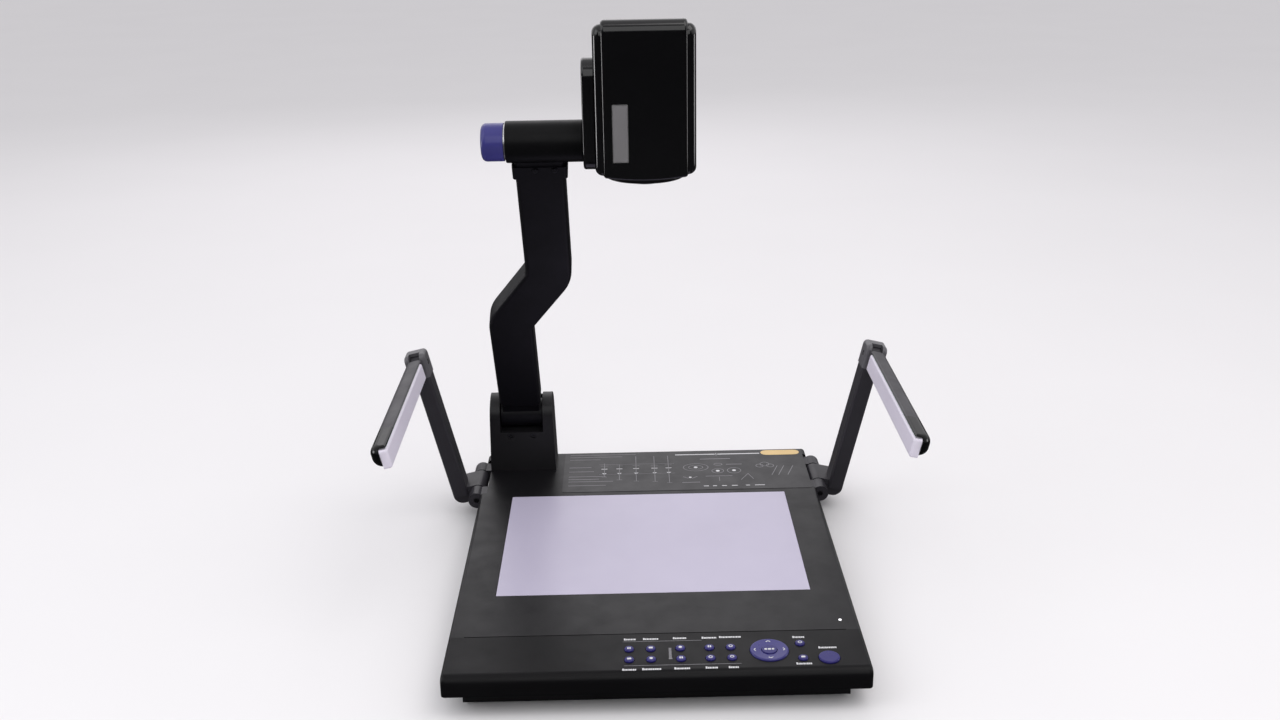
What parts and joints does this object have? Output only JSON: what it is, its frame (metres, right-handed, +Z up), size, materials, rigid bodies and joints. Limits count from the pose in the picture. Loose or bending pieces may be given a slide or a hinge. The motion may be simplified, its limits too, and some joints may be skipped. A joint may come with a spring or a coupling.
{
  "type": "document camera",
  "caption": "Desktop visual presenter: backlit stage base with keys, camera head on a folding cranked arm and a folding lamp on each side.",
  "frame": {"origin": "centre of the bounding box's footprint on the table, under the middle of the base", "axes": "+X to the user's right, +Y to the rear, +Z up"},
  "size_m": [0.5224, 0.46, 0.5603],
  "materials": {
    "case_black": "fine textured satin",
    "arm_grey": "satin painted",
    "lamp_grey": "satin",
    "gloss_black": "polished",
    "key_violet": "satin moulded",
    "stage_white": "translucent satin",
    "lamp_white": "translucent satin",
    "label_print": "printed film",
    "lens_red": "polished",
    "clear_guide": "clear acrylic",
    "plated_steel": "plated",
    "black_steel": "black oxide",
    "bright_metal": "satin",
    "board_green": "solder mask",
    "foot_rubber": "matt",
    "socket_black": "matt",
    "status_white": "frosted"
  },
  "bodies": {
    "base": {"top_cover": "case_black", "bottom_tray": "case_black", "rear_panel": "case_black", "rear_sockets": "plated_steel", "audio_jack": "socket_black", "stage_panel": "stage_white", "light_guide": "clear_guide", "light_pan": "plated_steel", "light_strips": "board_green", "circuit_boards": "board_green", "rubber_feet": "foot_rubber", "case_screws": "black_steel", "instruction_label": "label_print", "status_lens": "status_white", "column_shell": "case_black", "column_rear_cover": "case_black", "arm_hinge_pin": "black_steel", "lamp_brackets": "lamp_grey", "lamp_hinge_pins": "black_steel"},
    "camera_arm": {"arm_front_shell": "arm_grey", "arm_rear_shell": "arm_grey", "arm_hinge_barrel": "arm_grey", "arm_collar": "arm_grey", "arm_screws": "black_steel", "head_tube": "arm_grey"},
    "camera_head": {"head_front_shell": "gloss_black", "head_rear_shell": "gloss_black", "head_side_plate": "gloss_black", "lens_window": "lens_red", "lens_ring": "gloss_black", "camera_module": "socket_black", "head_badge": "bright_metal"},
    "focus_knob": {"focus_knob": "key_violet"},
    "lamp_arm_left": {"lamp_arm_left": "lamp_grey", "lamp_yoke_left": "lamp_grey"},
    "lamp_left": {"lamp_housing_left": "lamp_grey", "lamp_cap_left": "gloss_black", "lamp_diffuser_left": "lamp_white", "lamp_board_left": "board_green"},
    "lamp_arm_right": {"lamp_arm_right": "lamp_grey", "lamp_yoke_right": "lamp_grey"},
    "lamp_right": {"lamp_housing_right": "lamp_grey", "lamp_cap_right": "gloss_black", "lamp_diffuser_right": "lamp_white", "lamp_board_right": "board_green"},
    "shortcut_key_1": {"shortcut_key_1": "key_violet"},
    "shortcut_key_2": {"shortcut_key_2": "key_violet"},
    "shortcut_key_3": {"shortcut_key_3": "key_violet"},
    "shortcut_key_4": {"shortcut_key_4": "key_violet"},
    "shortcut_key_5": {"shortcut_key_5": "key_violet"},
    "shortcut_key_6": {"shortcut_key_6": "key_violet"},
    "shortcut_key_7": {"shortcut_key_7": "key_violet"},
    "shortcut_key_8": {"shortcut_key_8": "key_violet"},
    "shortcut_key_9": {"shortcut_key_9": "key_violet"},
    "shortcut_key_10": {"shortcut_key_10": "key_violet"},
    "menu_key": {"menu_key": "key_violet"},
    "source_key": {"source_key": "key_violet"},
    "power_key": {"power_key": "key_violet"},
    "direction_ring": {"direction_ring": "key_violet"},
    "ok_key": {"ok_key": "key_violet"}
  },
  "joints": [
    {"name": "arm_fold", "type": "hinge", "parent": "base", "child": "camera_arm", "pos_m": [-0.141, 0.204, 0.1035], "axis": [1, 0, 0], "range_deg": [-25, 60]},
    {"name": "head_tilt", "type": "hinge", "parent": "camera_arm", "child": "camera_head", "pos_m": [0, 0.00995, 0.44973], "axis": [1, 0, 0], "range_deg": [-150, 30]},
    {"name": "knob_turn", "type": "hinge", "parent": "camera_arm", "child": "focus_knob", "pos_m": [-0.138, 0.00995, 0.44973], "axis": [1, 0, 0], "continuous": true},
    {"name": "lamp_fold_left", "type": "hinge", "parent": "base", "child": "lamp_arm_left", "pos_m": [-0.19, 0.169, 0.03], "axis": [0, 1, 0], "range_deg": [-25, 20]},
    {"name": "lamp_tilt_left", "type": "hinge", "parent": "lamp_arm_left", "child": "lamp_left", "pos_m": [-0.24791, 0.16, 0.18084], "axis": [0.9744, 0, 0.225], "range_deg": [-15, 25]},
    {"name": "lamp_fold_right", "type": "hinge", "parent": "base", "child": "lamp_arm_right", "pos_m": [0.19, 0.169, 0.03], "axis": [0, -1, 0], "range_deg": [-25, 102]},
    {"name": "lamp_tilt_right", "type": "hinge", "parent": "lamp_arm_right", "child": "lamp_right", "pos_m": [0.24791, 0.16, 0.18084], "axis": [0.9744, 0, -0.225], "range_deg": [-15, 25]},
    {"name": "shortcut_key_1_press", "type": "slide", "parent": "base", "child": "shortcut_key_1", "axis": [0, 0, -1], "range_m": [0, 0.001], "stiffness_N_per_m": 400},
    {"name": "shortcut_key_2_press", "type": "slide", "parent": "base", "child": "shortcut_key_2", "axis": [0, 0, -1], "range_m": [0, 0.001], "stiffness_N_per_m": 400},
    {"name": "shortcut_key_3_press", "type": "slide", "parent": "base", "child": "shortcut_key_3", "axis": [0, 0, -1], "range_m": [0, 0.001], "stiffness_N_per_m": 400},
    {"name": "shortcut_key_4_press", "type": "slide", "parent": "base", "child": "shortcut_key_4", "axis": [0, 0, -1], "range_m": [0, 0.001], "stiffness_N_per_m": 400},
    {"name": "shortcut_key_5_press", "type": "slide", "parent": "base", "child": "shortcut_key_5", "axis": [0, 0, -1], "range_m": [0, 0.001], "stiffness_N_per_m": 400},
    {"name": "shortcut_key_6_press", "type": "slide", "parent": "base", "child": "shortcut_key_6", "axis": [0, 0, -1], "range_m": [0, 0.001], "stiffness_N_per_m": 400},
    {"name": "shortcut_key_7_press", "type": "slide", "parent": "base", "child": "shortcut_key_7", "axis": [0, 0, -1], "range_m": [0, 0.001], "stiffness_N_per_m": 400},
    {"name": "shortcut_key_8_press", "type": "slide", "parent": "base", "child": "shortcut_key_8", "axis": [0, 0, -1], "range_m": [0, 0.001], "stiffness_N_per_m": 400},
    {"name": "shortcut_key_9_press", "type": "slide", "parent": "base", "child": "shortcut_key_9", "axis": [0, 0, -1], "range_m": [0, 0.001], "stiffness_N_per_m": 400},
    {"name": "shortcut_key_10_press", "type": "slide", "parent": "base", "child": "shortcut_key_10", "axis": [0, 0, -1], "range_m": [0, 0.001], "stiffness_N_per_m": 400},
    {"name": "menu_key_press", "type": "slide", "parent": "base", "child": "menu_key", "axis": [0, 0, -1], "range_m": [0, 0.001], "stiffness_N_per_m": 400},
    {"name": "source_key_press", "type": "slide", "parent": "base", "child": "source_key", "axis": [0, 0, -1], "range_m": [0, 0.001], "stiffness_N_per_m": 400},
    {"name": "power_key_press", "type": "slide", "parent": "base", "child": "power_key", "axis": [0, 0, -1], "range_m": [0, 0.001], "stiffness_N_per_m": 400},
    {"name": "direction_ring_press", "type": "slide", "parent": "base", "child": "direction_ring", "axis": [0, 0, -1], "range_m": [0, 0.001], "stiffness_N_per_m": 400},
    {"name": "ok_key_press", "type": "slide", "parent": "base", "child": "ok_key", "axis": [0, 0, -1], "range_m": [0, 0.001], "stiffness_N_per_m": 400}
  ]
}
